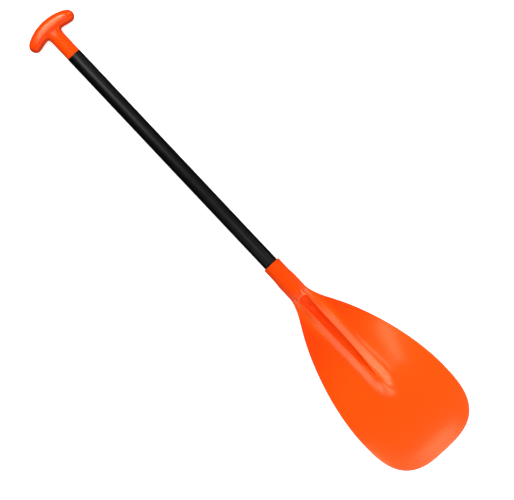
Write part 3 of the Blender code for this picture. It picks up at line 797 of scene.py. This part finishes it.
class Nodes:
    """Short notation for building a node tree."""

    def __init__(self, tree):
        self.tree = tree

    def add(self, kind, values=(), **settings):
        """A node with its settings; values maps inputs to numbers or to other outputs."""
        node = self.tree.nodes.new(kind)
        for name, value in settings.items():
            setattr(node, name, value)
        for name, value in dict(values).items():
            feed(self.tree, node.inputs[name], value)
        return node

    def noise(self, place, scale, detail=3.0, roughness=0.5):
        """Noise from 0 to 1 at a place."""
        values = {"Vector": place, "Scale": scale, "Detail": detail, "Roughness": roughness}
        return self.add("ShaderNodeTexNoise", values).outputs["Fac"]

    def remap(self, value, low, high, to_low, to_high, course="LINEAR"):
        """Moves a value from one range to another, without leaving it."""
        values = {"Value": value, "From Min": low, "From Max": high, "To Min": to_low, "To Max": to_high}
        return self.add("ShaderNodeMapRange", values, interpolation_type=course).outputs["Result"]

    def split(self, place):
        """The three parts of a place."""
        return self.add("ShaderNodeSeparateXYZ", {"Vector": place}).outputs[:3]

    def math(self, operation, first, second=0.0):
        """The result of a calculation with two values."""
        return self.add("ShaderNodeMath", {0: first, 1: second}, operation=operation).outputs[0]

    def mix(self, share, first, second):
        """A colour between two others."""
        values = {0: share, 6: first, 7: second}
        return self.add("ShaderNodeMix", values, data_type="RGBA").outputs[2]

    def wander(self, place, shades, scale):
        """A colour that wanders between two shades."""
        return self.mix(self.noise(place, scale, detail=2.0), *shades)

    def stretch(self, place, scale):
        """A place with each axis scaled."""
        values = {"Vector": place, "Scale": scale}
        return self.add("ShaderNodeMapping", values).outputs["Vector"]

    def bump(self, height, distance, strength, normal=None):
        """A bumped normal."""
        values = {"Height": height, "Distance": distance, "Strength": strength}
        if normal:
            values["Normal"] = normal
        return self.add("ShaderNodeBump", values).outputs["Normal"]


def new_material(name):
    """An empty Principled material, its nodes, its shader and the place on the object."""
    material = bpy.data.materials.new(name)
    material.use_nodes = True
    nodes = Nodes(material.node_tree)
    shader = material.node_tree.nodes["Principled BSDF"]
    place = nodes.add("ShaderNodeTexCoord").outputs["Object"]
    return material, nodes, shader, place


def wire(nodes, shader, **inputs):
    """Links outputs to the shader's inputs or sets them; names use _ for a space."""
    for name, value in inputs.items():
        feed(nodes.tree, shader.inputs[name.replace("_", " ")], value)


def band(nodes, value, ends):
    """One between the two inner ends, falling to zero at the outer ones."""
    growth = nodes.remap(value, ends[0], ends[1], 0.0, 1.0, "SMOOTHSTEP")
    decay = nodes.remap(value, ends[2], ends[3], 1.0, 0.0, "SMOOTHSTEP")
    return nodes.math("MULTIPLY", growth, decay)


def orange_plastic():
    """Satin polypropylene: painted shade deepens the orange towards the neck and on the -Y side, painted
    light lightens it towards the tip and on the spine's flanks; dull near the shaft, with a fine grain.
    """
    material, nodes, shader, place = new_material("orange_plastic")
    along, across, _ = nodes.split(place)
    # Painted shade and light: deeper orange towards the neck and on the -Y side, lighter towards the tip
    reach = nodes.math("ADD", along, nodes.math("MULTIPLY", across, PAINTED_LIGHT_SLANT))
    painted_light = nodes.remap(reach, PAINTED_LIGHT_FROM, PAINTED_LIGHT_TO, 0.0, 1.0, "SMOOTHSTEP")
    offs = [nodes.math("ABSOLUTE", nodes.math("SUBTRACT", along, x)) for x in DULL_PLACES]
    off = nodes.math("MINIMUM", *offs)
    dull = nodes.remap(off, DULL_FULL_SHARE * DULL_LENGTH, DULL_LENGTH, 1.0, 0.0, "SMOOTHSTEP")
    shade_and_dull = nodes.mix(dull, nodes.wander(place, PAINTED_SHADE_ORANGE, scale=14.0), DULL_ORANGE)
    colour = nodes.mix(painted_light, shade_and_dull, nodes.wander(place, PAINTED_LIGHT_ORANGE, scale=9.0))
    off_axis = nodes.math("ABSOLUTE", across)
    # Painted light on the spine's flanks, as if they caught more light than the plate
    flank_light = nodes.math("MULTIPLY", band(nodes, along, FLANK_LIGHT_ENDS), band(nodes, off_axis, FLANK_LIGHT_SIDES))
    colour = nodes.mix(flank_light, colour, FLANK_LIGHT_ORANGE)
    flow = nodes.noise(nodes.stretch(place, (8.0, 60.0, 60.0)), scale=1.0, detail=4.0)
    gloss = nodes.remap(flow, 0.3, 0.7, *ORANGE_ROUGHNESS)
    gloss = nodes.math("ADD", gloss, nodes.math("MULTIPLY", dull, DULL_ROUGHNESS))
    shine = nodes.remap(dull, 0.0, 1.0, ORANGE_SHINE, DULL_SHINE)
    waves = nodes.noise(place, scale=30.0, detail=2.0)
    normal = nodes.bump(waves, distance=0.0004, strength=0.05)
    grain = nodes.noise(place, scale=900.0, roughness=0.6)
    normal = nodes.bump(grain, distance=0.00001, strength=0.1, normal=normal)
    wire(nodes, shader, Base_Color=colour, Roughness=gloss, Normal=normal, IOR=ORANGE_IOR)
    wire(nodes, shader, Specular_IOR_Level=shine, Specular_Tint=GLOSS_TINT)
    return material


def black_sleeve():
    """Satin shrink sleeve with fine lines along the shaft."""
    material, nodes, shader, place = new_material("black_sleeve")
    lines = nodes.noise(nodes.stretch(place, (12.0, 900.0, 900.0)), scale=1.0)
    cloud = nodes.noise(place, scale=60.0)
    colour = nodes.mix(cloud, *SLEEVE_SHADES)
    gloss = nodes.remap(nodes.math("ADD", lines, cloud), 0.6, 1.4, *SLEEVE_ROUGHNESS)
    normal = nodes.bump(lines, distance=0.00005, strength=0.2)
    wire(nodes, shader, Base_Color=colour, Roughness=gloss, Normal=normal)
    return material


def metal(name):
    """Bare metal of the given name with fine turning marks and a little dirt."""
    shade, roughness = METALS[name]
    material, nodes, shader, place = new_material(name)
    marks = nodes.noise(nodes.stretch(place, (300.0, 2600.0, 2600.0)), scale=1.0)
    dirt = nodes.noise(place, scale=700.0, detail=2.0)
    dirty = [DIRT_SHADE * part for part in shade]
    colour = nodes.mix(nodes.remap(dirt, 0.45, 0.75, 0.0, 1.0), (*shade, 1), (*dirty, 1))
    gloss = nodes.remap(marks, 0.3, 0.7, *roughness)
    normal = nodes.bump(marks, distance=0.00002, strength=0.2)
    wire(nodes, shader, Base_Color=colour, Roughness=gloss, Normal=normal, Metallic=1.0)
    return material


def foam():
    """White closed-cell foam."""
    material, nodes, shader, place = new_material("white_foam")
    cells = nodes.add("ShaderNodeTexVoronoi", {"Vector": place, "Scale": 900.0}).outputs[0]
    colour = nodes.mix(cells, *FOAM_SHADES)
    normal = nodes.bump(cells, distance=0.0003, strength=0.5)
    wire(nodes, shader, Base_Color=colour, Roughness=MATT_ROUGHNESS, Normal=normal)
    return material


def floor_material():
    """Matt white studio floor with a faint glow."""
    material, nodes, shader, place = new_material("floor")
    colour = nodes.wander(place, FLOOR_SHADES, scale=1.5)
    wire(nodes, shader, Base_Color=colour, Roughness=MATT_ROUGHNESS)
    wire(nodes, shader, Emission_Color=(1.0, 1.0, 1.0, 1.0), Emission_Strength=FLOOR_GLOW)
    return material


def add_floor():
    """A wide pale floor, which gloss doesn't mirror."""
    bm = bmesh.new()
    bmesh.ops.create_grid(bm, x_segments=4, y_segments=4, size=FLOOR_SIZE)
    bmesh.ops.translate(bm, verts=bm.verts, vec=(0.0, 0.0, -FLOOR_DROP))
    mesh = bpy.data.meshes.new("floor")
    bm.to_mesh(mesh)
    bm.free()
    mesh.materials.append(floor_material())
    floor = bpy.data.objects.new("floor", mesh)
    bpy.context.scene.collection.objects.link(floor)
    floor.visible_glossy = False
    floor.visible_diffuse = False


def add_softbox(name, place, level_side, other_side, turn, power):
    """A soft rectangular light that faces the nearest point of the paddle's axis."""
    light = bpy.data.lights.new(name, "AREA")
    light.shape = "RECTANGLE"
    light.size = level_side
    light.size_y = other_side
    light.energy = power
    lamp = bpy.data.objects.new(name, light)
    nearest = min(max(place[0], SHOULDER_X - GRIP_HEIGHT), NECK_X + BLADE_LENGTH)
    view = Vector((nearest, 0.0, AXIS_HEIGHT)) - Vector(place)
    lamp.location = place
    lamp.rotation_euler = view.to_track_quat("-Z", "Y").to_euler()
    lamp.rotation_euler.rotate_axis("Z", math.radians(turn))
    lamp.visible_camera = False
    bpy.context.scene.collection.objects.link(lamp)
    return lamp


def group(name, items):
    """A collection of the given objects, for lights that reach only these."""
    collection = bpy.data.collections.new(name)
    for item in items:
        collection.objects.link(item)
    return collection


def spare_glare(lamp, near, far):
    """Leaves a lamp to the near objects and gives the far ones its light without its reflection."""
    soft = lamp.copy()
    soft.name = f"{lamp.name}_soft"
    soft.visible_glossy = False
    bpy.context.scene.collection.objects.link(soft)
    lamp.light_linking.receiver_collection = near
    soft.light_linking.receiver_collection = far


def add_world():
    """Even white surroundings that light the object and aren't mirrored in it."""
    world = bpy.data.worlds.new("studio")
    world.use_nodes = True
    sky = world.node_tree.nodes["Background"]
    sky.inputs["Color"].default_value = (1.0, 1.0, 1.0, 1.0)
    sky.inputs["Strength"].default_value = WORLD_LIGHT
    world.cycles_visibility.glossy = False
    bpy.context.scene.world = world


def add_camera():
    """A long lens straight above the paddle, turned as the photograph is."""
    data = bpy.data.cameras.new("camera")
    data.lens = LENS
    data.sensor_width = SENSOR
    camera = bpy.data.objects.new("camera", data)
    distance = PIXEL * PHOTO_WIDTH * LENS / SENSOR
    camera.location = (*PHOTO_MIDDLE, AXIS_HEIGHT + distance)
    camera.rotation_euler = (0.0, 0.0, PHOTO_TURN)
    bpy.context.scene.collection.objects.link(camera)
    bpy.context.scene.camera = camera


def dress(node, material):
    """Gives a carried-over node its material."""
    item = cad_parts[node]
    for slot in item.material_slots:
        slot.material = material


orange = orange_plastic()
blade = make_blade(orange)
grip = make_grip(orange)
for piece, node in ((blade, "blade"), (grip, "t_grip")):
    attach(piece, "root")
    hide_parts(node)
dress("shaft_sleeve", black_sleeve())
dress("shaft_tube", metal("tube_aluminium"))
rivet_metal = metal("rivet_aluminium")
mandrel_metal = metal("mandrel_steel")
foam_material = foam()
for place in ("blade", "grip"):
    dress(f"{place}_rivet", rivet_metal)
    dress(f"{place}_rivet_mandrel", mandrel_metal)
for place in ("upper", "lower"):
    dress(f"{place}_foam_plug", foam_material)

add_world()
add_floor()
meshes = [item for item in bpy.data.objects if item.type == "MESH"]
away_from_blade = group("away_from_blade", [item for item in meshes if item != blade])
on_blade = group("on_blade", [blade])
for name, values in SOFTBOXES.items():
    lamp = add_softbox(name, *values)
    if lamp.location.x < NO_GLARE_X:
        spare_glare(lamp, away_from_blade, on_blade)
add_camera()
bpy.context.scene.view_settings.view_transform = "Standard"
